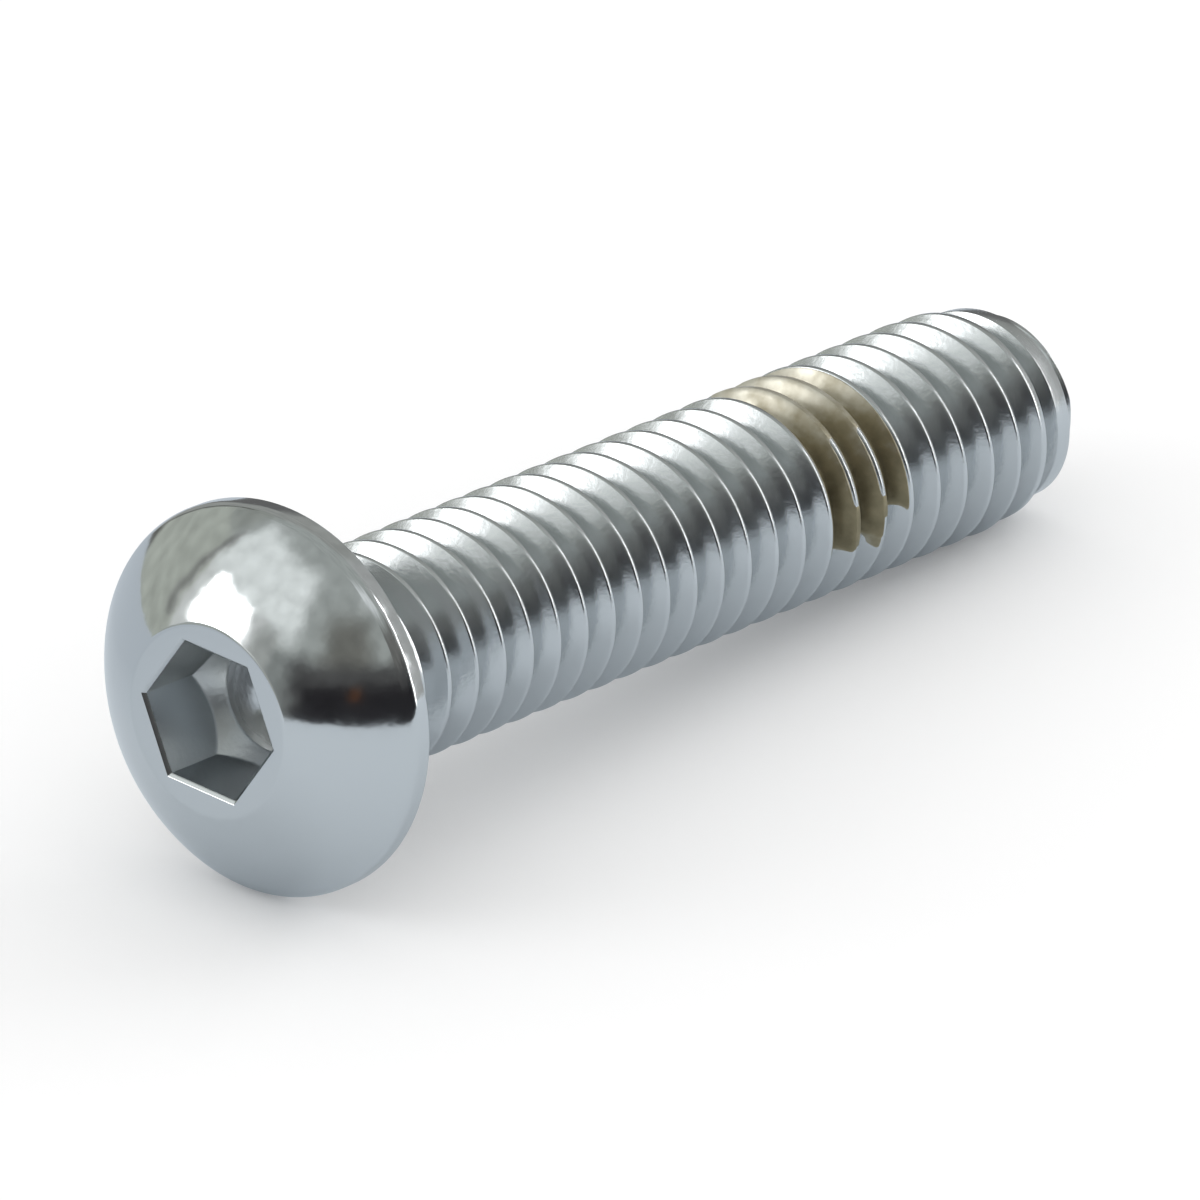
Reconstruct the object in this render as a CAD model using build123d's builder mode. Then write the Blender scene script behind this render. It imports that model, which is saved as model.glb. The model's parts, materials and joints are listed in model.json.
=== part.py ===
from build123d import *
import os
from math import atan, ceil, cos, floor, radians, sin, sqrt, tan

os.makedirs("parts", exist_ok=True)

# Button head socket cap screw, 5/16 in - 18 UNC x 1 1/2 in, chromed, with a nylon locking patch.
#
# The bolt lies as it comes to rest: on the edge of its head and on the last full thread by the tip.
# Its origin is the centre of the bearing face under the head, +Y runs along the floor towards the tip
# and +Z is up. Angles round the shank are counted from the top towards +X.
# All sizes are in millimetres and degrees.

# Thread
threads_per_inch = 18
thread_diameter = 7.7
crest_share = 1 / 8  # crest flat, as a share of the pitch
root_share = 1 / 6  # root flat, as a share of the pitch
thread_angle = 60.0
thread_phase = 1.36  # how far along the axis a crest crosses the top of the shank
length_under_head = 38.1

# Neck, between the bearing face and the thread
under_head_fillet = 0.5
neck_length = 1.6
crest_lead = 1.4  # length over which the crests grow out of the neck
root_lead = 2.1  # length over which the roots sink below the neck

# Tip
tip_length = 4.0  # length over which the thread is rounded down
tip_radius = 10.0
tip_edge_chamfer = 0.3

# Head
head_diameter = 13.7
head_height = 3.45
rim_height = 0.77
rim_round = 0.7
seat_edge_chamfer = 0.1
ring_diameter = 6.74  # flat ring round the mouth of the socket
ring_chamfer_share = 0.21  # chamfers on both edges of the ring, as a share of its narrowest width

# Hexagon socket
socket_across_flats = 4.85
socket_depth = 2.4  # down to the foot of the corners
socket_turn = 32.3  # where one corner points
ledge_diameter = 4.0  # ring on the floor where the steep cone meets the shallow one
steep_slope = 48.0
shallow_slope = 12.0
punch_clearance = 1.0  # how far the punch starts above the head

# Locking patch: a film of nylon fused over a few grooves of the thread, on one side of the shank
patch_to_tip = 9.9
patch_groove_count = 3
patch_start = -44.0
patch_end = 109.0
patch_short_end = 93.0  # the groove nearest the tip is coated less far round
film_clearance = 0.02  # between the film and the thread under it
film_thickness = 0.05

# Derived sizes
pitch = 25.4 / threads_per_inch
major_radius = thread_diameter / 2
half_angle = radians(thread_angle / 2)
flank_slope = tan(half_angle)
sharp_height = pitch / 2 / flank_slope
crest_half_width = pitch * crest_share / 2
root_half_width = pitch * root_share / 2
thread_depth = (pitch / 2 - crest_half_width - root_half_width) / flank_slope
root_radius = major_radius - thread_depth
neck_radius = major_radius - (sharp_height * 3 / 8)  # the pitch diameter, as on a rolled thread
head_radius = head_diameter / 2
ring_radius = ring_diameter / 2
corner_radius = socket_across_flats / sqrt(3)
ring_chamfer = ring_chamfer_share * (ring_radius - corner_radius)

# Pose at rest: the rim and the last full crest on the underside touch the floor
crest_at_bottom = thread_phase + pitch / 2
full_thread_end = length_under_head - tip_length
last_crest = crest_at_bottom + pitch * floor((full_thread_end - crest_at_bottom) / pitch)
lean = atan((head_radius - major_radius) / last_crest)
axis_direction = Vector(0, cos(lean), -sin(lean))
top_direction = Vector(0, sin(lean), cos(lean))
seat = Plane(origin=(0, 0, 0), x_dir=top_direction, z_dir=axis_direction)
bolt_axis = Axis(seat.origin, seat.z_dir)


def axial_plane(turn: float) -> Plane:
    """Plane through the bolt's axis: x points outwards at this turn, y runs towards the tip."""
    outwards = seat.x_dir.rotate(bolt_axis, turn)
    return Plane(origin=seat.origin, x_dir=outwards, z_dir=outwards.cross(seat.z_dir))


def screw_path(turn: float, arc: float) -> Edge:
    """Right-hand helix at the root of the thread, from this turn on and through this arc."""
    start = Plane(origin=seat.origin, x_dir=axial_plane(turn).x_dir, z_dir=seat.z_dir)
    helix = Edge.make_helix(pitch, pitch * arc / 360, root_radius)
    return helix.moved(start.location)


def crest_position(index: int, turn: float) -> float:
    """Distance along the axis of a crest at this turn, counted from the first one past the seat."""
    return thread_phase + pitch * (index + turn / 360)


# Blank: head, neck and the cone on which the roots of the thread run out
dome_drop = head_height - rim_height
dome_centre = (head_height**2 - rim_height**2 + ring_radius**2 - head_radius**2) / (2 * dome_drop)
dome_radius = sqrt((rim_height - dome_centre) ** 2 + head_radius**2)
buried_radius = root_radius - thread_depth / 4  # just inside the threaded shank
run_out_end = neck_length + root_lead * (neck_radius - buried_radius) / (neck_radius - root_radius)

with BuildPart() as blank:
    with BuildSketch(axial_plane(0)) as half_section:
        with BuildLine():
            dome = RadiusArc((head_radius, -rim_height), (ring_radius, -head_height), dome_radius)
            Polyline(
                dome @ 1,
                (0, -head_height),
                (0, run_out_end),
                (buried_radius, run_out_end),
                (neck_radius, neck_length),
                (neck_radius, 0),
                (head_radius, 0),
                dome @ 0,
            )
        make_face()
        for corner, radius in (
            ((head_radius, -rim_height), rim_round),
            ((neck_radius, 0), under_head_fillet),
        ):
            fillet(half_section.vertices().sort_by_distance(corner)[0], radius)
        for corner, size in (
            ((ring_radius, -head_height), ring_chamfer),
            ((head_radius, 0), seat_edge_chamfer),
        ):
            chamfer(half_section.vertices().sort_by_distance(corner)[0], size)
    revolve(axis=bolt_axis)

# Pocket: a hexagonal punch whose end is a steep cone with a shallow one inside it
ledge_radius = ledge_diameter / 2
punch_back = -head_height - punch_clearance
foot = socket_depth - head_height
ledge = foot + (corner_radius - ledge_radius) * tan(radians(steep_slope))
punch_tip = ledge + ledge_radius * tan(radians(shallow_slope))

with BuildPart() as pocket:
    with BuildSketch(seat.offset(punch_back)):
        RegularPolygon(socket_across_flats / 2, 6, major_radius=False, rotation=socket_turn)
    extrude(amount=punch_tip - punch_back)
    with BuildSketch(axial_plane(0)):
        with BuildLine():
            Polyline(
                (0, punch_back),
                (corner_radius, punch_back),
                (corner_radius, foot),
                (ledge_radius, ledge),
                (0, punch_tip),
                close=True,
            )
        make_face()
    revolve(axis=bolt_axis, mode=Mode.INTERSECT)

with BuildPart() as head:
    add(blank.part)
    add(pocket.part, mode=Mode.SUBTRACT)
    ring_face = head.faces().sort_by(bolt_axis)[0]
    chamfer(ring_face.inner_wires()[0].edges(), ring_chamfer)

# Thread: the toothed half section is swept half a turn along the helix, twice. The two halves meet on
# a plane through the axis, where the teeth of one side line up with the next teeth of the other.
sweep_arc = 180
teeth_before_seat = 1
tooth_count = teeth_before_seat + ceil(length_under_head / pitch) + 1
bore_radius = root_radius / 2  # left open by the sweep and filled by the core
crest_clearance = 0.03  # between the crests and the envelope that trims their ends


def tooth_row(turn: float) -> list:
    """Outline of the toothed half section in the axial plane at this turn, as (radius, distance)."""
    first_root = crest_position(-teeth_before_seat, turn) - pitch / 2
    row = [(root_radius, first_root)]
    for tooth in range(tooth_count):
        root = first_root + tooth * pitch
        crest = root + pitch / 2
        row += [
            (root_radius, root + root_half_width),
            (major_radius, crest - crest_half_width),
            (major_radius, crest + crest_half_width),
            (root_radius, root + pitch - root_half_width),
        ]
    last_root = first_root + tooth_count * pitch
    return [(bore_radius, first_root), *row, (root_radius, last_root), (bore_radius, last_root)]


halves = []
for turn in (0, sweep_arc):
    with BuildPart() as half:
        with BuildLine() as path:
            add(screw_path(turn, sweep_arc))
        with BuildSketch(axial_plane(turn)):
            with BuildLine():
                Polyline(*tooth_row(turn), close=True)
            make_face()
        sweep(path=path.line, is_frenet=True)
    halves.append(half.part)

# Envelope: the crests grow out of the neck, and the tip is rounded. Between the two it clears them.
envelope_radius = major_radius + crest_clearance
thread_start = neck_length * 3 / 4
lead_start_radius = (neck_radius + root_radius) / 2
lead_end = thread_start + crest_lead * (envelope_radius - lead_start_radius) / (major_radius - neck_radius)
tip_profile = [
    (envelope_radius - tip_radius + sqrt(tip_radius**2 - past**2), full_thread_end + past)
    for past in (0, tip_length / 2, tip_length)
]
tip_face_radius = tip_profile[-1][0]

with BuildPart() as shank:
    with BuildSketch(seat.offset(thread_start)):
        Circle((bore_radius + root_radius) / 2)
    extrude(amount=length_under_head - thread_start)
    for half_thread in halves:
        add(half_thread)
    with BuildSketch(axial_plane(0)) as envelope:
        with BuildLine():
            Polyline(
                *tip_profile,
                (0, length_under_head),
                (0, thread_start),
                (lead_start_radius, thread_start),
                (envelope_radius, lead_end),
                close=True,
            )
        make_face()
        tip_corner = envelope.vertices().sort_by_distance((tip_face_radius, length_under_head))[0]
        chamfer(tip_corner, tip_edge_chamfer)
    revolve(axis=bolt_axis, mode=Mode.INTERSECT)

with BuildPart() as bolt:
    add(head.part)
    add(shank.part)

# Locking patch: its comb-shaped section is swept along the helix of the thread
last_coated_crest = round((length_under_head - patch_to_tip - thread_phase) / pitch)
first_coated_crest = last_coated_crest - patch_groove_count


def film_side(height: float, turn: float, grooves: int) -> list:
    """Line at this height over the coated thread, as (radius, distance)."""
    corner_shift = height * (1 - sin(half_angle)) / cos(half_angle)
    shoulder = crest_half_width + corner_shift
    floor_half_width = root_half_width - corner_shift
    top_radius = major_radius + height
    floor_radius = root_radius + height
    crests = [crest_position(first_coated_crest + index, turn) for index in range(grooves + 1)]
    line = [(top_radius, crests[0])]
    for crest in crests[:-1]:
        root = crest + pitch / 2
        line += [
            (top_radius, crest + shoulder),
            (floor_radius, root - floor_half_width),
            (floor_radius, root + floor_half_width),
            (top_radius, crest + pitch - shoulder),
        ]
    return [*line, (top_radius, crests[-1])]


with BuildPart() as locking_patch:
    for start, end, grooves in (
        (patch_start, patch_short_end, patch_groove_count),
        (patch_short_end, patch_end, patch_groove_count - 1),
    ):
        inner_side = film_side(film_clearance, start, grooves)
        outer_side = film_side(film_clearance + film_thickness, start, grooves)
        with BuildLine() as path:
            add(screw_path(start, end - start))
        with BuildSketch(axial_plane(start)):
            with BuildLine():
                Polyline(*inner_side, *reversed(outer_side), close=True)
            make_face()
        sweep(path=path.line, is_frenet=True)

bolt.part.label = "bolt"
export_step(bolt.part, "parts/bolt.step")
locking_patch.part.label = "locking_patch"
export_step(locking_patch.part, "parts/locking_patch.step")
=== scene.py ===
"""Looks of a chromed button head screw with a nylon locking patch.

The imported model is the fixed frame. Two pieces dress it: the polished bolt, with its thread, domed head
and hexagon socket, and the film of nylon fused over a few turns of the thread. All sizes are in metres
and all angles in degrees. Shapes are made in the seat's own frame, where the origin is the centre of the
bearing face, +X points out of the top of the shank and +Z runs towards the tip. Turns are counted from
+X towards +Y. Each piece is then laid down where the record's seat mount is.
"""

import json
import logging
from collections.abc import Callable
from dataclasses import dataclass
from enum import Enum
from math import asin, atan2, cos, degrees, pi, radians, sin, sqrt, tan

import bmesh
import bpy
from mathutils import Matrix, Vector, noise


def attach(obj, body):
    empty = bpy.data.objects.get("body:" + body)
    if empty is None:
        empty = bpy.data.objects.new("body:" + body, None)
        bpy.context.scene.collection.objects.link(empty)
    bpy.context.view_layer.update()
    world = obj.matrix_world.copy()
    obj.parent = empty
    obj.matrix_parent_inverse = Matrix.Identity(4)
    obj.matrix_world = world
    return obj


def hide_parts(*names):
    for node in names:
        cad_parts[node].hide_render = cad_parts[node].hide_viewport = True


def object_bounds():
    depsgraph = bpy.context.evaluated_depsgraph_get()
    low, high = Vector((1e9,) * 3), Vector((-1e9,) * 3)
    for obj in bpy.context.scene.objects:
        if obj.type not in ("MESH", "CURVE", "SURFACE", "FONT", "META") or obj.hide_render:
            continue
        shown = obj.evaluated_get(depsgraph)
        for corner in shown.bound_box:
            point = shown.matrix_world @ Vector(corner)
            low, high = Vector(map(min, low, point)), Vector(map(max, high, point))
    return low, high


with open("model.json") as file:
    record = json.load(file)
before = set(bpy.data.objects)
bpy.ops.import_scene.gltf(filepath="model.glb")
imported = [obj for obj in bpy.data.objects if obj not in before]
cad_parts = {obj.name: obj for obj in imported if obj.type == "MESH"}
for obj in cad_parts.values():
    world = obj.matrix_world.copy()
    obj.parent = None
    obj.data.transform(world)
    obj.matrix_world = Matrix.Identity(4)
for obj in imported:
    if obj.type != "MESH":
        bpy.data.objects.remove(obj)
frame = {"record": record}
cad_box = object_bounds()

log = logging.getLogger("button_head_screw")

BODY = "root"
COLUMNS = 144  # columns of the mesh in one turn, so that 24 lie on each side of the hexagon
COLUMN_ANGLE = 360 / COLUMNS
FIRST_COLUMN = 32.3  # turn of the first column, which is also where one corner of the hexagon points
WELD = 4e-6  # corners nearer than this become one
FINE_WELD = WELD / 8
SHARP_ANGLE = 38.0
NOISE_RANGE = (0.3, 0.7)  # between which most values of a noise lie


class Node(Enum):
    """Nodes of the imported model."""

    BOLT = "bolt"
    LOCKING_PATCH = "locking_patch"


class Slot(Enum):
    """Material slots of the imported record."""

    CHROME = "chrome"
    NYLON = "patch_nylon"


def polar(radius: float, turn: float, height: float) -> Vector:
    """Point at this radius, turn and height in the seat's frame."""
    return Vector((radius * cos(radians(turn)), radius * sin(radians(turn)), height))


def turn_of(point: Vector) -> float:
    """Turn of a point about the axis, from 0 up to 360 degrees."""
    return degrees(atan2(point.y, point.x)) % 360


def outwards(azimuth: float, elevation: float) -> Vector:
    """Unit vector at this elevation and this azimuth, which is counted from -Y towards +X."""
    a, e = radians(azimuth), radians(elevation)
    return Vector((sin(a) * cos(e), -cos(a) * cos(e), sin(e)))


def smooth(low: float, high: float, value: float) -> float:
    """Smooth step from 0 at low to 1 at high."""
    share = min(max((value - low) / (high - low), 0.0), 1.0)
    return share * share * (3 - 2 * share)


def wire(bm: bmesh.types.BMesh, points: list[Vector]) -> list:
    """Draws a line of edges through some points.

    Args:
        bm: The mesh that it goes into.
        points: Its points, in order.

    Returns:
        The new vertices and edges.
    """
    verts = [bm.verts.new(point) for point in points]
    return [*verts, *(bm.edges.new(pair) for pair in zip(verts, verts[1:]))]


def revolve(bm: bmesh.types.BMesh, points: list[Vector], steps: int) -> None:
    """Turns a line of points once round the axis."""
    bmesh.ops.spin(
        bm,
        geom=wire(bm, points),
        axis=(0, 0, 1),
        cent=(0, 0, 0),
        angle=2 * pi,
        steps=steps,
        use_merge=True,
    )


def wind(bm: bmesh.types.BMesh, line: list, pitch: float, columns: int) -> None:
    """Winds a line of edges round the axis as a helix.

    Args:
        bm: The mesh.
        line: The line's vertices and edges.
        pitch: Rise of the helix in one turn.
        columns: How many columns it goes round.
    """
    bmesh.ops.spin(
        bm,
        geom=line,
        axis=(0, 0, 1),
        cent=(0, 0, 0),
        dvec=(0, 0, pitch / COLUMNS),
        angle=radians(COLUMN_ANGLE * columns),
        steps=columns,
    )


def inward_loop(
    bm: bmesh.types.BMesh, loop: list, place: Callable[[float], tuple[float, float]]
) -> list:
    """Extrudes an open loop of edges and puts its new corners where a rule says.

    Args:
        bm: The mesh.
        loop: The open edges.
        place: Gives the radius and height for a turn.

    Returns:
        The new open edges.
    """
    made = bmesh.ops.extrude_edge_only(bm, edges=loop)["geom"]
    for vert in (item for item in made if isinstance(item, bmesh.types.BMVert)):
        turn = turn_of(vert.co)
        radius, height = place(turn)
        vert.co = polar(radius, turn, height)
    return [item for item in made if isinstance(item, bmesh.types.BMEdge) and item.is_boundary]


def open_loop(bm: bmesh.types.BMesh, height: float) -> list:
    """Open edges of the mesh that lie at this height."""
    return [
        edge
        for edge in bm.edges
        if edge.is_boundary and all(abs(vert.co.z - height) < WELD for vert in edge.verts)
    ]


def rounded_corner(before: Vector, corner: Vector, after: Vector, reach: float, steps: int) -> list[Vector]:
    """Points of a small curve that takes the place of a corner.

    Args:
        before: A point on the line into the corner.
        corner: The corner.
        after: A point on the line out of the corner.
        reach: How far from the corner the curve starts and ends.
        steps: How many parts the curve has.

    Returns:
        The curve's points, in order.
    """
    start = corner + (before - corner).normalized() * reach
    end = corner + (after - corner).normalized() * reach
    shares = [step / steps for step in range(steps + 1)]
    return [start * (1 - t) ** 2 + corner * 2 * t * (1 - t) + end * t**2 for t in shares]


@dataclass(frozen=True)
class Thread:
    """Unified coarse thread, 5/16 in - 18, and how it starts and ends."""

    pitch: float = 0.0254 / 18
    major_radius: float = 0.00385
    crest_share: float = 1 / 8
    root_share: float = 1 / 6
    half_angle: float = 30.0
    phase: float = 0.00136  # where a crest crosses the top of the shank
    neck_radius: float = 0.00339
    neck_end: float = 0.0016
    root_run: float = 0.0021
    crest_start: float = 0.00181
    crest_run: float = 0.0014
    length: float = 0.0381
    tip_length: float = 0.004
    tip_radius: float = 0.010
    tip_edge: float = 0.0003
    crest_round: float = 0.00003
    root_points: int = 7

    @property
    def slope(self) -> float:
        """Axial run of a flank for each unit of depth."""
        return tan(radians(self.half_angle))

    @property
    def root_half_width(self) -> float:
        """Half the width of the bottom of a groove."""
        return self.pitch * self.root_share / 2

    @property
    def depth(self) -> float:
        """Depth of the full thread."""
        return (self.pitch / 2 - self.pitch * self.crest_share / 2 - self.root_half_width) / self.slope

    @property
    def root_radius(self) -> float:
        """Radius at the bottom of the full thread."""
        return self.major_radius - self.depth

    @property
    def root_round(self) -> float:
        """Radius of the rounding at the bottom of a groove, which touches both flanks."""
        lean = radians(self.half_angle)
        return self.root_half_width * cos(lean) / (1 - sin(lean))

    def crest_radius_at(self, height: float) -> float:
        """Radius of the crests, which grow out of the neck and are rounded down at the tip."""
        grown = min(max((height - self.crest_start) / self.crest_run, 0.0), 1.0)
        radius = self.neck_radius + (self.major_radius - self.neck_radius) * grown
        past = min(max(height - (self.length - self.tip_length), 0.0), self.tip_length)
        return radius - self.tip_radius + sqrt(self.tip_radius**2 - past**2)

    def root_radius_at(self, height: float) -> float:
        """Radius of the roots, which sink below the neck and never stand above the crests."""
        sunk = min(max((height - self.neck_end) / self.root_run, 0.0), 1.0)
        radius = self.neck_radius + (self.root_radius - self.neck_radius) * sunk
        return min(radius, self.crest_radius_at(height))

    def crest_height(self, index: float, turn: float) -> float:
        """Height of a crest at this turn."""
        return self.phase + self.pitch * (index + turn / 360)

    def surface_radius(self, height: float, turn: float) -> float:
        """Radius of the thread's surface at this height and turn."""
        pitches = (height - self.phase) / self.pitch - turn / 360
        from_root = (0.5 - abs(pitches - round(pitches))) * self.pitch
        rise = max(from_root - self.root_half_width, 0.0) / self.slope
        return min(self.root_radius_at(height) + rise, self.crest_radius_at(height))

    def section(self) -> list[tuple[float, float, float]]:
        """Corners of one pitch, from one root to the next.

        Returns:
            For each corner its distance from the crest's middle, how far it stands in from the crest's
            edge, and how high it stands above the root. A corner of the root has no place on the crest,
            and a corner of the crest no height above the root.
        """
        lean = radians(self.half_angle)
        arc = []
        for step in range(self.root_points):
            angle = (pi / 2 - lean) * (2 * step / (self.root_points - 1) - 1)
            arc.append((self.root_round * sin(angle), self.root_round * (1 - cos(angle))))
        half = self.root_points // 2
        rising = [(distance - self.pitch / 2, None, rise) for distance, rise in arc[half:]]
        falling = [(distance + self.pitch / 2, None, rise) for distance, rise in arc[:half]]
        edge = self.pitch * self.crest_share / 2
        out, back = self.crest_round * sin(lean), self.crest_round
        crest = [
            (-edge - out, -out, None),
            (-edge + back, back, None),
            (0.0, edge, None),
            (edge - back, back, None),
            (edge + out, -out, None),
        ]
        return [*rising, *crest, *falling]

    def build(self, bm: bmesh.types.BMesh, start: float) -> None:
        """Winds the section round the axis and lets it run out at both ends.

        Args:
            bm: The mesh that it goes into.
            start: Height at which it joins the neck.
        """
        section = self.section()
        layer = bm.verts.layers.int.new("corner")
        points, corners = [], []
        for index in range(-3, int(self.length / self.pitch) + 2):
            crest = self.crest_height(index, FIRST_COLUMN)
            points += [polar(self.major_radius, FIRST_COLUMN, crest + corner[0]) for corner in section]
            corners += range(len(section))
        geometry = wire(bm, points)
        for vert, corner in zip(geometry, corners):
            vert[layer] = corner
        wind(bm, geometry, self.pitch, COLUMNS)
        for vert in bm.verts:
            radius, height = self.place(vert.co.z, section[vert[layer]])
            vert.co = polar(radius, turn_of(vert.co), height)
        bm.verts.layers.int.remove(layer)
        bmesh.ops.remove_doubles(bm, verts=bm.verts, dist=WELD)
        self.trim(bm, start)

    def trim(self, bm: bmesh.types.BMesh, start: float) -> None:
        """Cuts both ends square, and lines the loop at the neck up with the head's columns.

        Args:
            bm: The mesh, which has the thread and nothing else.
            start: Height at which it joins the neck.
        """
        for height, side in ((start, -1), (self.length - self.tip_edge, 1)):
            bmesh.ops.bisect_plane(
                bm,
                geom=[*bm.verts, *bm.edges, *bm.faces],
                dist=FINE_WELD,
                plane_co=(0, 0, height),
                plane_no=(0, 0, side),
                clear_outer=True,
            )
        for vert in {vert for edge in open_loop(bm, start) for vert in edge.verts}:
            column = round((turn_of(vert.co) - FIRST_COLUMN) / COLUMN_ANGLE)
            vert.co = polar(self.neck_radius, FIRST_COLUMN + column * COLUMN_ANGLE, start)
        bmesh.ops.remove_doubles(bm, verts=bm.verts, dist=WELD)

    def place(self, height: float, corner: tuple[float, float, float]) -> tuple[float, float]:
        """Radius and height of one corner of the section, wherever the thread grows or runs out.

        Where the thread is shallow, the edges of the crest stay clear of the rounded roots.

        Args:
            height: Height of the corner on a full thread.
            corner: The corner, as the section gives it.

        Returns:
            Its radius and height.
        """
        from_crest, inset, rise = corner
        crest_radius, root_radius = self.crest_radius_at(height), self.root_radius_at(height)
        if inset is None:
            return min(root_radius + rise, crest_radius), height
        if from_crest == 0:
            return crest_radius, height
        half_width = self.pitch / 2 - max(
            self.root_half_width + (crest_radius - root_radius) * self.slope,
            self.root_round * cos(radians(self.half_angle)) + self.crest_round,
        )
        side = 1 if from_crest > 0 else -1
        moved = height - from_crest + side * (half_width - inset)
        drop = max(-inset, 0.0) / self.slope
        return max(crest_radius - drop, root_radius), moved


@dataclass(frozen=True)
class Head:
    """Domed button head with a flat ring round the mouth of the socket."""

    radius: float = 0.00685
    height: float = 0.00345
    rim_height: float = 0.00077
    rim_round: float = 0.0007
    seat_edge: float = 0.0001
    ring_radius: float = 0.00337
    ring_edge_reach: float = 0.00009
    under_head_fillet: float = 0.0005
    join_height: float = 0.001  # where the head's mesh meets the thread's
    ring_inner_radius: float = 0.0031
    fillet_steps: int = 8
    rim_steps: int = 12
    dome_steps: int = 24

    def profile(self, neck_radius: float) -> list[Vector]:
        """Line from the neck over the rim and the dome to the flat ring, as (radius, height)."""
        points = [Vector((neck_radius, self.join_height))]
        fillet = self.under_head_fillet
        for step in range(self.fillet_steps + 1):
            angle = pi / 2 * step / self.fillet_steps
            points.append(Vector((neck_radius + fillet * (1 - cos(angle)), fillet * (1 - sin(angle)))))
        edge = self.seat_edge
        points += rounded_corner(
            Vector((neck_radius + fillet, 0)),
            Vector((self.radius - edge / 3, 0)),
            Vector((self.radius, -edge)),
            reach=edge * 0.8,
            steps=3,
        )
        drop = self.height - self.rim_height
        centre = (self.height**2 - self.rim_height**2 + self.ring_radius**2 - self.radius**2) / (2 * drop)
        dome = sqrt((self.rim_height - centre) ** 2 + self.radius**2)
        across = self.radius - self.rim_round
        blend_height = -centre - sqrt((dome - self.rim_round) ** 2 - across**2)
        meeting = atan2(across, -centre - blend_height)
        for step in range(self.rim_steps + 1):
            angle = pi / 2 + (meeting - pi / 2) * step / self.rim_steps
            points.append(
                Vector((across + self.rim_round * sin(angle), blend_height - self.rim_round * cos(angle)))
            )
        end = atan2(self.ring_radius + self.ring_edge_reach, self.height - centre)
        for step in range(1, self.dome_steps + 1):
            angle = meeting + (end - meeting) * step / self.dome_steps
            points.append(Vector((dome * sin(angle), -centre - dome * cos(angle))))
        points += rounded_corner(
            points[-1],
            Vector((self.ring_radius, -self.height)),
            Vector((0, -self.height)),
            reach=self.ring_edge_reach,
            steps=5,
        )[1:]
        return [*points, Vector((self.ring_inner_radius, -self.height))]

    def build(self, bm: bmesh.types.BMesh, neck_radius: float) -> None:
        """Turns the head's line round the axis."""
        points = [polar(point.x, FIRST_COLUMN, point.y) for point in self.profile(neck_radius)]
        revolve(bm, points, COLUMNS)


@dataclass(frozen=True)
class Socket:
    """Hexagon socket, broached to a floor with a steep cone round a shallow one."""

    across_flats: float = 0.00485
    depth: float = 0.0024
    mouth_chamfer: float = 0.00012
    edge_round: float = 0.000025
    ledge_radius: float = 0.002
    ledge_step: float = 0.00003
    steep_slope: float = 48.0
    shallow_slope: float = 12.0
    ledge_loops: tuple[float, ...] = (0.00035, 0.00004, 0.0, -0.00001, -0.00005)  # out from the ledge
    inner_loops: tuple[float, ...] = (0.0012, 0.0005, 0.0)  # radii

    def hexagon_radius(self, turn: float, across_flats: float) -> float:
        """Radius of a hexagon's outline at this turn."""
        from_flat = (turn - FIRST_COLUMN) % 60 - 30
        return across_flats / 2 / cos(radians(from_flat))

    def floor_height(self, radius: float, top: float) -> float:
        """Height of the socket's floor at this radius."""
        corner = self.across_flats / sqrt(3)
        steep = top + self.depth + (corner - max(radius, self.ledge_radius)) * tan(radians(self.steep_slope))
        inner = max(self.ledge_radius - radius, 0.0)
        return steep + inner * tan(radians(self.shallow_slope)) + (self.ledge_step if inner else 0.0)

    def build(self, bm: bmesh.types.BMesh, top: float) -> None:
        """Sinks the socket from the flat ring, one loop after another.

        Args:
            bm: The mesh, which has the head already.
            top: Height of the flat ring.
        """
        flats, chamfer, edge = self.across_flats, self.mouth_chamfer, self.edge_round
        loop = open_loop(bm, top)
        rings = (
            (flats + 2 * (chamfer + edge), top),
            (flats + 2 * (chamfer - edge / 2), top + edge / 2),
            (flats + edge, top + chamfer - edge / 2),
            (flats, top + chamfer + edge),
        )
        for across, height in rings:
            loop = inward_loop(bm, loop, lambda turn, a=across, h=height: (self.hexagon_radius(turn, a), h))
        for along, across in ((-2 * edge, 0.0), (edge / 2, edge / 2), (None, 2 * edge)):
            def foot(turn: float, along: float = along, across: float = across) -> tuple[float, float]:
                """Corner of the rounded foot of the walls at this turn."""
                wall = self.hexagon_radius(turn, flats)
                radius = wall - across
                height = self.floor_height(radius, top)
                return radius, height if along is None else self.floor_height(wall, top) + along

            loop = inward_loop(bm, loop, foot)
        for radius in (*(self.ledge_radius + out for out in self.ledge_loops), *self.inner_loops):
            def step(turn: float, radius: float = radius) -> tuple[float, float]:
                """Corner of this loop of the floor, kept clear of the walls."""
                kept = min(radius, self.hexagon_radius(turn, flats) - 3 * edge)
                return kept, self.floor_height(kept, top)

            loop = inward_loop(bm, loop, step)


@dataclass(frozen=True)
class Tip:
    """Rounded end of the shank."""

    edge_round: float = 0.00008
    face_radius: float = 0.00272
    cup_depth: float = 0.00006
    cup_share: float = 0.85  # share of the face that is hollow

    def build(self, bm: bmesh.types.BMesh, thread: Thread) -> None:
        """Closes the end of the thread with its bevel and a slightly hollow face."""
        end = thread.length
        start = end - thread.tip_edge
        loop = open_loop(bm, start)
        middle = (thread.root_radius + self.face_radius) / 2
        for radius, height in (
            (middle, (start + end) / 2),
            (self.face_radius + self.edge_round / 2, end - self.edge_round / 2),
            (self.face_radius, end - self.edge_round / 8),
            (self.face_radius - self.edge_round, end),
            (self.face_radius * self.cup_share, end - self.cup_depth / 4),
            (self.face_radius / 2, end - self.cup_depth),
            (0.0, end - self.cup_depth),
        ):
            loop = inward_loop(bm, loop, lambda turn, r=radius, h=height: (r, h))


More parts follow.
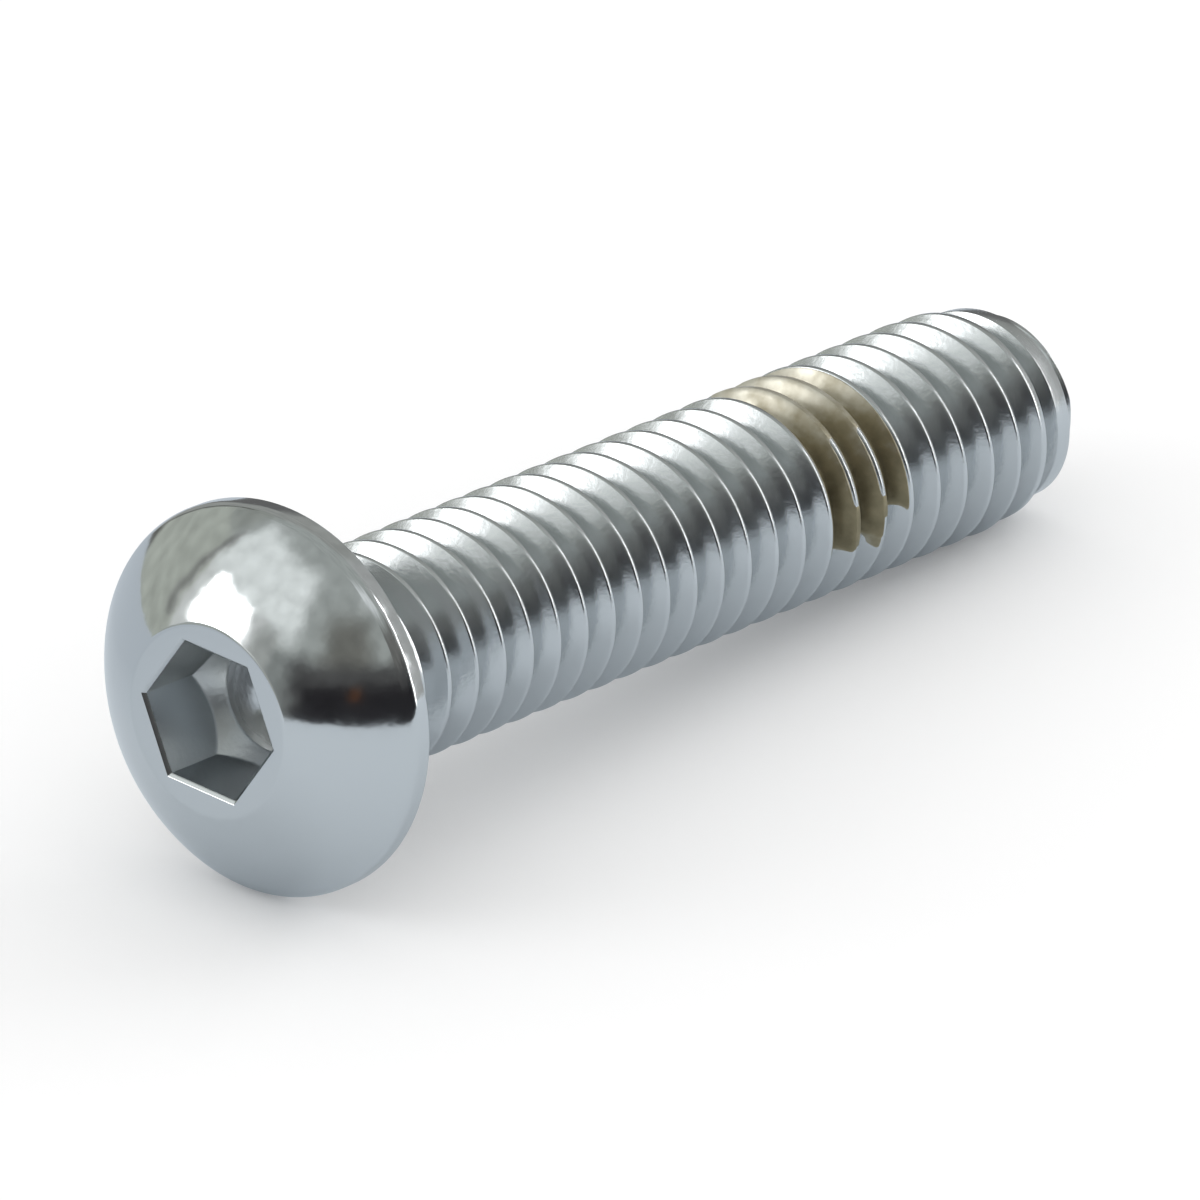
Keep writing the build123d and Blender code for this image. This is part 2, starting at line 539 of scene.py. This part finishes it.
@dataclass(frozen=True)
class Chrome:
    """Bright chrome: mirror-like on the turned head, duller and grainier on the rolled thread."""

    name: str = "bright_chrome"
    color: tuple[float, float, float] = (0.60, 0.62, 0.63)
    bright_roughness: float = 0.07
    dull_roughness: float = 0.34
    roughness_spread: float = 0.06
    cloud_scale: float = 750.0
    ripple_scale: float = 1500.0
    ripple_height: float = 0.000005
    grain_scale: float = 5200.0
    grain_height: float = 0.000012

    def material(self) -> bpy.types.Material:
        """Makes the material, whose grain follows how dull the surface is."""
        maker = MaterialMaker(self.name)
        shader = maker.shader
        shader.inputs["Base Color"].default_value = (*self.color, 1)
        shader.inputs["Metallic"].default_value = 1.0
        dull = maker.attribute(Bolt.dull_attribute)
        base = maker.remap(dull, 0.0, 1.0, self.bright_roughness, self.dull_roughness)
        cloud = maker.noise(self.cloud_scale, detail=3.0)
        spread = maker.remap(cloud, *NOISE_RANGE, 0.0, self.roughness_spread)
        maker.link(maker.math("ADD", base, spread), shader.inputs["Roughness"])
        ripple = maker.remap(maker.noise(self.ripple_scale, detail=2.0), 0.0, 1.0, 0.0, self.ripple_height)
        grain = maker.remap(maker.noise(self.grain_scale, detail=3.0), 0.0, 1.0, 0.0, self.grain_height)
        height = maker.math("ADD", ripple, maker.math("MULTIPLY", grain, dull))
        maker.link(maker.bump(height, distance=1.0), shader.inputs["Normal"])
        return maker.material


@dataclass(frozen=True)
class Nylon:
    """Amber nylon film fused over bright metal: the metal glows through where it is thin."""

    name: str = "fused_nylon"
    thin_color: tuple[float, float, float] = (0.60, 0.58, 0.50)
    middle_color: tuple[float, float, float] = (0.26, 0.225, 0.14)
    thick_color: tuple[float, float, float] = (0.09, 0.075, 0.04)
    roughness: tuple[float, float] = (0.28, 0.42)
    metal_share: float = 0.6
    cloud_scale: float = 1400.0
    cloud_depth: float = 0.14
    speckle_scale: float = 4000.0
    speckle_height: float = 0.000006

    def material(self) -> bpy.types.Material:
        """Makes the material, whose colour follows the thickness of the film."""
        maker = MaterialMaker(self.name)
        shader = maker.shader
        shader.inputs["Metallic"].default_value = self.metal_share
        film = maker.attribute(LockingPatch.film_attribute)
        cloud = maker.noise(self.cloud_scale, detail=3.0)
        spread = maker.remap(cloud, *NOISE_RANGE, -self.cloud_depth, self.cloud_depth)
        depth = maker.math("ADD", film, spread)
        stops = ((0.0, self.thin_color), (0.5, self.middle_color), (1.0, self.thick_color))
        maker.link(maker.ramp(depth, stops), shader.inputs["Base Color"])
        maker.link(maker.remap(cloud, *NOISE_RANGE, *self.roughness), shader.inputs["Roughness"])
        speckle = maker.noise(self.speckle_scale, detail=4.0)
        maker.link(maker.bump(speckle, self.speckle_height), shader.inputs["Normal"])
        return maker.material


class MaterialMaker:
    """A node material for one of the object's finishes, with patterns in object coordinates."""

    def __init__(self, name: str) -> None:
        """Starts an empty material with its shader."""
        self.material = bpy.data.materials.new(name)
        self.material.use_nodes = True
        self.nodes = self.material.node_tree.nodes
        self.links = self.material.node_tree.links
        self.shader = self.nodes["Principled BSDF"]
        self.output = self.nodes["Material Output"]
        self.place = self.nodes.new("ShaderNodeTexCoord").outputs["Object"]

    def link(self, source: bpy.types.NodeSocket, target: bpy.types.NodeSocket) -> None:
        """Joins two sockets."""
        self.links.new(source, target)

    def noise(self, scale: float, detail: float) -> bpy.types.NodeSocket:
        """Soft noise over the piece."""
        node = self.nodes.new("ShaderNodeTexNoise")
        node.inputs["Scale"].default_value = scale
        node.inputs["Detail"].default_value = detail
        self.link(self.place, node.inputs["Vector"])
        return node.outputs["Fac"]

    def attribute(self, name: str, output: str = "Fac") -> bpy.types.NodeSocket:
        """Number or colour that the mesh carries on its points."""
        node = self.nodes.new("ShaderNodeAttribute")
        node.attribute_name = name
        return node.outputs[output]

    def math(
        self, operation: str, left: bpy.types.NodeSocket, right: bpy.types.NodeSocket
    ) -> bpy.types.NodeSocket:
        """Sum or another operation on two numbers."""
        node = self.nodes.new("ShaderNodeMath")
        node.operation = operation
        self.link(left, node.inputs[0])
        self.link(right, node.inputs[1])
        return node.outputs[0]

    def remap(
        self, value: bpy.types.NodeSocket, low: float, high: float, new_low: float, new_high: float
    ) -> bpy.types.NodeSocket:
        """Value moved from one range to another."""
        node = self.nodes.new("ShaderNodeMapRange")
        for slot, number in zip(("From Min", "From Max", "To Min", "To Max"), (low, high, new_low, new_high)):
            node.inputs[slot].default_value = number
        self.link(value, node.inputs["Value"])
        return node.outputs["Result"]

    def ramp(
        self, value: bpy.types.NodeSocket, stops: tuple[tuple[float, tuple[float, float, float]], ...]
    ) -> bpy.types.NodeSocket:
        """Colour picked along a ramp."""
        node = self.nodes.new("ShaderNodeValToRGB")
        elements = node.color_ramp.elements
        while len(elements) < len(stops):
            elements.new(0.5)
        for element, (position, color) in zip(elements, stops):
            element.position = position
            element.color = (*color, 1)
        self.link(value, node.inputs["Fac"])
        return node.outputs["Color"]

    def bump(self, height: bpy.types.NodeSocket, distance: float) -> bpy.types.NodeSocket:
        """Normal that follows a height."""
        node = self.nodes.new("ShaderNodeBump")
        node.inputs["Distance"].default_value = distance
        node.inputs["Strength"].default_value = 1.0
        self.link(height, node.inputs["Height"])
        return node.outputs["Normal"]


@dataclass(frozen=True)
class Seat:
    """Where the bolt lies: the record's seat mount, with the shank's top kept upwards."""

    origin: Vector
    axis: Vector

    @classmethod
    def from_record(cls, record: dict) -> "Seat":
        """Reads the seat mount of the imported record."""
        mount = next(mount for mount in record["mounts"] if mount["name"] == "head_seat")
        return cls(Vector(mount["pos_m"]), Vector(mount["axis"]).normalized())

    def matrix(self) -> Matrix:
        """Matrix from the seat's frame to the row frame."""
        across = Vector((1, 0, 0))
        top = across.cross(self.axis).normalized()
        columns = Matrix((top, across, self.axis)).transposed().to_4x4()
        return Matrix.Translation(self.origin) @ columns


def even_normals(mesh: bpy.types.Mesh) -> None:
    """Weights the normals by the size of the faces, so that a flat stays flat beside its rounded edge."""
    limit = cos(radians(SHARP_ANGLE))
    faces = [(face.normal.copy(), face.area / WELD**2) for face in mesh.polygons]
    around = [[] for _ in mesh.vertices]
    for face in mesh.polygons:
        for vertex in face.vertices:
            around[vertex].append(faces[face.index])
    normals = [None] * len(mesh.loops)
    for face in mesh.polygons:
        own = faces[face.index][0]
        for loop, vertex in zip(face.loop_indices, face.vertices):
            total = Vector((0, 0, 0))
            for normal, area in around[vertex]:
                if normal.dot(own) > limit:
                    total += normal * area
            normals[loop] = total.normalized()
    mesh.normals_split_custom_set(normals)


def placed(name: str, data: bpy.types.ID) -> bpy.types.Object:
    """Makes an object of the scene from its data."""
    made = bpy.data.objects.new(name, data)
    bpy.context.scene.collection.objects.link(made)
    return made


def mesh_of(name: str, bm: bmesh.types.BMesh, material: bpy.types.Material) -> bpy.types.Mesh:
    """Turns a mesh under work, which is freed, into a mesh with one finish."""
    mesh = bpy.data.meshes.new(name)
    bm.to_mesh(mesh)
    bm.free()
    mesh.materials.append(material)
    return mesh


def finished_piece(
    name: str, bm: bmesh.types.BMesh, seat: Seat, material: bpy.types.Material, node: Node
) -> bpy.types.Object:
    """Turns a mesh in the seat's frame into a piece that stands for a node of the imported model.

    Args:
        name: The piece's name.
        bm: Its mesh, which is freed.
        seat: Where the bolt lies.
        material: Its finish.
        node: The node that it stands for.

    Returns:
        The piece, in place.
    """
    bmesh.ops.dissolve_degenerate(bm, edges=bm.edges, dist=FINE_WELD)
    bmesh.ops.recalc_face_normals(bm, faces=bm.faces)
    bmesh.ops.transform(bm, matrix=seat.matrix(), verts=bm.verts)
    mesh = mesh_of(name, bm, material)
    mesh.shade_smooth()
    mesh.set_sharp_from_angle(angle=radians(SHARP_ANGLE))
    even_normals(mesh)
    piece = placed(name, mesh)
    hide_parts(node.value)
    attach(piece, BODY)
    log.info("%s: %d faces", name, len(mesh.polygons))
    return piece


@dataclass(frozen=True)
class Bolt:
    """The whole bolt, which is one piece of metal."""

    dull_attribute = "dullness"

    thread: Thread = Thread()
    head: Head = Head()
    socket: Socket = Socket()
    tip: Tip = Tip()
    finish: Chrome = Chrome()
    thread_dullness: float = 0.46
    socket_dullness: float = 0.85

    def dullness(self, point: Vector) -> float:
        """How dull the metal is at a point: the thread is rolled and the socket is broached."""
        mouth = -self.head.height + self.socket.mouth_chamfer
        if point.xy.length < self.socket.across_flats / sqrt(3) + WELD and mouth < point.z < 0:
            return self.socket_dullness
        return self.thread_dullness * smooth(0.0, self.thread.neck_end, point.z)

    def build(self, seat: Seat) -> bpy.types.Object:
        """Makes the bolt and puts it in place."""
        bm = bmesh.new()
        self.thread.build(bm, self.head.join_height)
        self.tip.build(bm, self.thread)
        self.head.build(bm, self.thread.neck_radius)
        self.socket.build(bm, -self.head.height)
        bmesh.ops.remove_doubles(bm, verts=bm.verts, dist=WELD)
        layer = bm.verts.layers.float.new(self.dull_attribute)
        for vert in bm.verts:
            vert[layer] = self.dullness(vert.co)
        return finished_piece("bolt_body", bm, seat, self.finish.material(), Node.BOLT)


@dataclass(frozen=True)
class LockingPatch:
    """Film of nylon that fills the grooves of a few turns, on one side of the shank."""

    film_attribute = "film"

    thread: Thread = Thread()
    finish: Nylon = Nylon()
    first_crest: int = 16
    start_turn: float = -50.2
    columns: int = 70
    upper_end: float = -44.0
    groove_ends: tuple[float, ...] = (112.0, 110.0, 96.0)
    end_fade: float = 9.0
    raggedness: float = 7.0
    ragged_scale: float = 1800.0
    flank_film: float = 0.00006
    floor_fill: float = 0.00017
    thickening: tuple[float, float] = (-20.0, 85.0)  # turns over which the film grows thicker
    crest_gap: float = 0.00002
    crest_film: float = 0.000012
    bare_crests: tuple[float, float] = (40.0, 80.0)  # turns between which the crests are rubbed bare
    bare_fade: float = 6.0
    thin_start: float = 0.2  # share of the full film before it grows thicker
    thin_edge: float = 0.55  # share of the full film at the edge of a crest
    buried: float = 0.00005
    samples: int = 29

    def coat(self, groove: int, turn: float, point: Vector) -> float:
        """How much of the film there is, from 0 to 1.

        Args:
            groove: Which groove, counted from the head's side.
            turn: The turn, which may be below 0.
            point: The place, for the raggedness of the edges.

        Returns:
            The share of the full film.
        """
        rag = noise.noise(point * self.ragged_scale) * self.raggedness
        lower = smooth(0, self.end_fade, self.groove_ends[groove] + rag - turn)
        upper = smooth(0, self.end_fade, turn - self.upper_end + rag)
        return lower * upper

    def crest_cover(self, turn: float) -> float:
        """How much of a crest is covered at this turn, from 0 to 1."""
        start, end = self.bare_crests
        fade = self.bare_fade
        return 1 - smooth(start, start + fade, turn) * (1 - smooth(end - fade, end, turn))

    def build(self, seat: Seat) -> bpy.types.Object:
        """Lays the film over the thread, sinks its edges into the metal and closes it."""
        thread = self.thread
        bm = bmesh.new()
        first = thread.crest_height(self.first_crest, self.start_turn)
        grooves = len(self.groove_ends)
        count = grooves * (self.samples - 1)
        step = thread.pitch / (self.samples - 1)
        points = [polar(thread.major_radius, self.start_turn, first + step * row) for row in range(count + 1)]
        wind(bm, wire(bm, points), thread.pitch, self.columns)
        film_layer = bm.verts.layers.float.new(self.film_attribute)
        crest_edge = thread.pitch * thread.crest_share / 2
        for vert in bm.verts:
            turn = (turn_of(vert.co) + 180) % 360 - 180
            height = vert.co.z
            pitches = (height - thread.crest_height(self.first_crest, turn)) / thread.pitch
            groove = min(max(int(pitches), 0), grooves - 1)
            from_crest = abs(pitches - round(pitches)) * thread.pitch
            base = thread.surface_radius(height, turn)
            fill = thread.root_radius_at(height) + self.floor_fill
            on_flank = smooth(crest_edge - self.crest_gap, crest_edge + 3 * self.crest_gap, from_crest)
            thickness = self.crest_film + (self.flank_film - self.crest_film) * on_flank
            film = max(base, fill) + thickness
            inside = 0.5 < pitches < grooves - 0.5
            on_crest = self.crest_cover(turn) if inside else 0.0
            coat = self.coat(groove, turn, vert.co) * max(on_flank, on_crest)
            radius = (base - self.buried) * (1 - coat) + film * coat
            depth = self.thin_edge + (1 - self.thin_edge) * smooth(crest_edge, thread.pitch / 2, from_crest)
            grown = self.thin_start + (1 - self.thin_start) * smooth(*self.thickening, turn)
            vert[film_layer] = coat * depth * grown
            vert.co = polar(radius, turn, height)
        bmesh.ops.recalc_face_normals(bm, faces=bm.faces)
        bmesh.ops.solidify(bm, geom=bm.faces, thickness=self.buried * 2)
        return finished_piece("nylon_film", bm, seat, self.finish.material(), Node.LOCKING_PATCH)


@dataclass(frozen=True)
class Glow:
    """One area of the room round the stage, as bright metal shows it."""

    azimuths: tuple[float, float]
    elevations: tuple[float, float]
    color: tuple[float, float, float]
    softness: float = 5.0

    def share(self, azimuth: float, elevation: float) -> float:
        """How much of this area there is in one direction, from 0 to 1."""
        left, right = self.azimuths
        low, high = self.elevations
        edge = self.softness / 2
        half = (right - left) / 2
        aside = abs((azimuth - left - half + 180) % 360 - 180)
        across = 1 - smooth(half - edge, half + edge, aside)
        upwards = smooth(low - edge, low + edge, elevation)
        return across * upwards * smooth(-high - edge, edge - high, -elevation)


@dataclass(frozen=True)
class Room:
    """The soft grey room round the stage, which only reflections show."""

    glow_attribute = "glow"

    walls: tuple[float, float, float] = (0.46, 0.49, 0.47)
    areas: tuple[Glow, ...] = (
        Glow((-180, -100), (-5, 60), (0.41, 0.42, 0.40), 14.0),  # far wall
        Glow((-162, -128), (-5, 22), (0.17, 0.17, 0.17), 10.0),  # its foot
        Glow((-106, -58), (-5, 38), (0.53, 0.56, 0.50), 5.0),  # near wall
        Glow((-112, -72), (38, 57), (0.38, 0.40, 0.37), 6.0),
        Glow((-108, -102), (-5, 46), (0.15, 0.15, 0.14), 3.0),  # its two corners
        Glow((-69, -65), (8, 46), (0.24, 0.24, 0.23), 3.0),
        Glow((-64, 6), (30, 60), (1.00, 1.04, 1.02), 9.0),  # wall round the window
        Glow((-62, -50), (4, 32), (0.80, 0.82, 0.80), 5.0),
        Glow((-28, -14), (4, 34), (0.80, 0.82, 0.80), 6.0),
        Glow((-16, -3), (-5, 31), (0.46, 0.48, 0.46), 5.0),  # shelves
        Glow((-5, 10), (-5, 24), (0.31, 0.33, 0.32), 7.0),
        Glow((21, 46), (16, 45), (0.21, 0.21, 0.19), 13.0),  # right wall
        Glow((56, 130), (16, 43), (0.20, 0.20, 0.19), 12.0),
        Glow((6, 130), (-5, 24), (0.10, 0.10, 0.10), 9.0),
        Glow((12, 130), (-5, 14), (0.026, 0.025, 0.028), 8.0),  # dark doorway
        Glow((36, 39), (8, 14), (0.11, 0.05, 0.025), 3.0),
        Glow((42, 110), (51, 66), (0.87, 0.90, 0.90), 10.0),  # skylight
        Glow((124, 180), (-5, 50), (0.50, 0.51, 0.50), 8.0),
        Glow((130, 135), (-5, 13), (6.0, 6.0, 6.0), 2.5),  # slanting gap behind
        Glow((134, 139), (11, 24), (6.0, 6.0, 6.0), 2.5),
        Glow((139, 145), (21, 32), (6.0, 6.0, 6.0), 2.5),
        Glow((147, 153), (30, 40), (6.0, 6.0, 6.0), 2.5),
        Glow((-54, -23), (14, 34), (5.0, 5.0, 5.0), 4.0),  # window
    )
    radius: float = 0.5
    lowest: float = -5.0
    rows: int = 70
    columns: int = 260
    wobble: float = 2.5
    wobble_scale: float = 10.0
    mottle_scale: float = 22.0
    mottle: float = 0.16

    def glow_towards(self, direction: Vector) -> Vector:
        """Glow of the room in one direction."""
        shift = noise.noise_vector(direction * self.wobble_scale) * self.wobble
        azimuth = degrees(atan2(direction.x, -direction.y)) + shift.x
        elevation = degrees(asin(direction.z)) + shift.y
        color = Vector(self.walls)
        for area in self.areas:
            color = color.lerp(Vector(area.color), area.share(azimuth, elevation))
        return color

    def build(self) -> bpy.types.Object:
        """Makes the room's dome, painted with its glow."""
        bm = bmesh.new()
        rise = radians(90 - self.lowest) / self.rows
        heights = [radians(self.lowest) + rise * row for row in range(self.rows + 1)]
        points = [Vector((0, -cos(height), sin(height))) * self.radius for height in heights]
        revolve(bm, points, self.columns)
        bmesh.ops.remove_doubles(bm, verts=bm.verts, dist=WELD)
        layer = bm.verts.layers.float_color.new(self.glow_attribute)
        for vert in bm.verts:
            vert[layer] = (*self.glow_towards(vert.co.normalized()), 1)
        room = placed("room", mesh_of("room", bm, self.material()))
        room.visible_camera = False
        room.visible_diffuse = False
        room.visible_shadow = False
        return room

    def material(self) -> bpy.types.Material:
        """Makes the glow, slightly mottled."""
        maker = MaterialMaker("room_glow")
        maker.nodes.remove(maker.shader)
        glow = maker.nodes.new("ShaderNodeEmission")
        cloud = maker.noise(self.mottle_scale, detail=3.0)
        mottle = maker.remap(cloud, *NOISE_RANGE, 1 - self.mottle, 1 + self.mottle)
        maker.link(maker.attribute(self.glow_attribute, "Color"), glow.inputs["Color"])
        maker.link(mottle, glow.inputs["Strength"])
        maker.link(glow.outputs[0], maker.output.inputs["Surface"])
        maker.material.cycles.emission_sampling = "NONE"
        return maker.material


@dataclass(frozen=True)
class Softbox:
    """A soft lamp that faces the bolt."""

    name: str
    azimuth: float
    elevation: float
    width: float
    height: float
    glow: float
    distance: float = 0.45

    def build(self) -> bpy.types.Object:
        """Makes the lamp, so bright that its face has this glow."""
        data = bpy.data.lights.new(self.name, "AREA")
        data.shape = "RECTANGLE"
        data.size, data.size_y = self.width, self.height
        data.energy = self.glow * pi * self.width * self.height
        lamp = placed(self.name, data)
        away = outwards(self.azimuth, self.elevation)
        lamp.location = away * self.distance
        lamp.rotation_mode = "QUATERNION"
        lamp.rotation_quaternion = away.to_track_quat("Z", "Y")
        lamp.visible_glossy = False
        return lamp


@dataclass(frozen=True)
class Table:
    """Round pale table top under the bolt."""

    radius: float = 0.15
    sides: int = 96
    # the darker tint is painted shade, standing for the shade on the table in front of the bolt
    painted_shade_tint: tuple[float, float, float] = (0.60, 0.655, 0.71)
    far_tint: tuple[float, float, float] = (0.74, 0.80, 0.85)
    painted_shade_span: tuple[float, float] = (-0.028, -0.004)  # where the painted shade turns into the far tint
    roughness: float = 0.8
    seen_white: float = 0.97  # what the camera sees, with the bolt's shadow on it
    lift: float = 0.06

    def build(self, height: float) -> bpy.types.Object:
        """Makes the table at this height."""
        bm = bmesh.new()
        bmesh.ops.create_circle(bm, cap_ends=True, segments=self.sides, radius=self.radius)
        bmesh.ops.translate(bm, verts=bm.verts, vec=(0, 0, height))
        table = placed("table_top", mesh_of("table_top", bm, self.material()))
        return table

    def material(self) -> bpy.types.Material:
        """Makes the table's finish, which the camera sees as white with the bolt's shadow on it, and which
        reflections see tinted, with painted shade where X is low.
        """
        maker = MaterialMaker("pale_table")
        shader = maker.shader
        split = maker.nodes.new("ShaderNodeSeparateXYZ")
        maker.link(maker.place, split.inputs[0])
        # reflections see the table darker where X is low: painted shade
        across = maker.remap(split.outputs["X"], *self.painted_shade_span, 0.0, 1.0)
        tints = ((0.0, self.painted_shade_tint), (1.0, self.far_tint))
        maker.link(maker.ramp(across, tints), shader.inputs["Base Color"])
        shader.inputs["Roughness"].default_value = self.roughness
        shader.inputs["Specular IOR Level"].default_value = 0.0
        white = maker.nodes.new("ShaderNodeBsdfDiffuse")
        white.inputs["Color"].default_value = (*[self.seen_white] * 3, 1)
        lift = maker.nodes.new("ShaderNodeEmission")
        lift.inputs["Strength"].default_value = self.lift
        both = maker.nodes.new("ShaderNodeAddShader")
        maker.link(white.outputs[0], both.inputs[0])
        maker.link(lift.outputs[0], both.inputs[1])
        path = maker.nodes.new("ShaderNodeLightPath")
        mix = maker.nodes.new("ShaderNodeMixShader")
        maker.link(path.outputs["Is Camera Ray"], mix.inputs[0])
        maker.link(shader.outputs[0], mix.inputs[1])
        maker.link(both.outputs[0], mix.inputs[2])
        maker.link(mix.outputs[0], maker.output.inputs["Surface"])
        return maker.material


@dataclass(frozen=True)
class Studio:
    """Plain soft light: a white surround, two softboxes and the room round the stage."""

    surround: float = 0.9
    softboxes: tuple[Softbox, ...] = (
        Softbox("window", -36.0, 29.0, 0.27, 0.13, 1.9),
        Softbox("back_window", 162.0, 29.0, 0.32, 0.15, 1.9),
    )
    room: Room = Room()

    def build(self) -> None:
        """Makes the surround, the softboxes and the room."""
        world = bpy.data.worlds.new("white_surround")
        bpy.context.scene.world = world
        world.use_nodes = True
        nodes, links = world.node_tree.nodes, world.node_tree.links
        background = nodes["Background"]
        background.inputs["Color"].default_value = (1, 1, 1, 1)
        path = nodes.new("ShaderNodeLightPath")
        seen = path.outputs["Is Camera Ray"]
        for kind in ("Is Glossy Ray", "Is Transmission Ray"):
            either = nodes.new("ShaderNodeMath")
            either.operation = "MAXIMUM"
            links.new(seen, either.inputs[0])
            links.new(path.outputs[kind], either.inputs[1])
            seen = either.outputs[0]
        strength = nodes.new("ShaderNodeMapRange")
        strength.inputs["To Min"].default_value = self.surround
        strength.inputs["To Max"].default_value = 1.0
        links.new(seen, strength.inputs["Value"])
        links.new(strength.outputs["Result"], background.inputs["Strength"])
        for piece in (*self.softboxes, self.room):
            piece.build()
        log.info("studio: %d softboxes and the room", len(self.softboxes))


@dataclass(frozen=True)
class View:
    """The camera: a long lens that looks down on the bolt from the head's side."""

    target: tuple[float, float, float] = (0.007345, 0.008111, 0.002834)
    azimuth: float = 40.56
    elevation: float = 26.89
    distance: float = 1.78
    lens: float = 1599.8
    sensor_width: float = 36.0
    clip: tuple[float, float] = (0.05, 10.0)

    def build(self) -> bpy.types.Object:
        """Makes the scene's camera."""
        data = bpy.data.cameras.new("studio_camera")
        data.lens = self.lens
        data.sensor_width = self.sensor_width
        data.clip_start, data.clip_end = self.clip
        camera = placed("studio_camera", data)
        back = outwards(self.azimuth, self.elevation)
        camera.location = Vector(self.target) + back * self.distance
        camera.rotation_mode = "QUATERNION"
        camera.rotation_quaternion = (-back).to_track_quat("-Z", "Y")
        bpy.context.scene.camera = camera
        return camera


def main() -> None:
    """Builds the camera, the bolt, its locking patch and the studio, in that order."""
    logging.basicConfig(level=logging.INFO, format="%(name)s: %(message)s")
    bpy.context.scene.view_settings.view_transform = "Standard"
    View().build()
    seat = Seat.from_record(frame["record"])
    Bolt().build(seat)
    LockingPatch().build(seat)
    Table().build(cad_box[0].z)
    Studio().build()


if __name__ == "__main__":
    main()
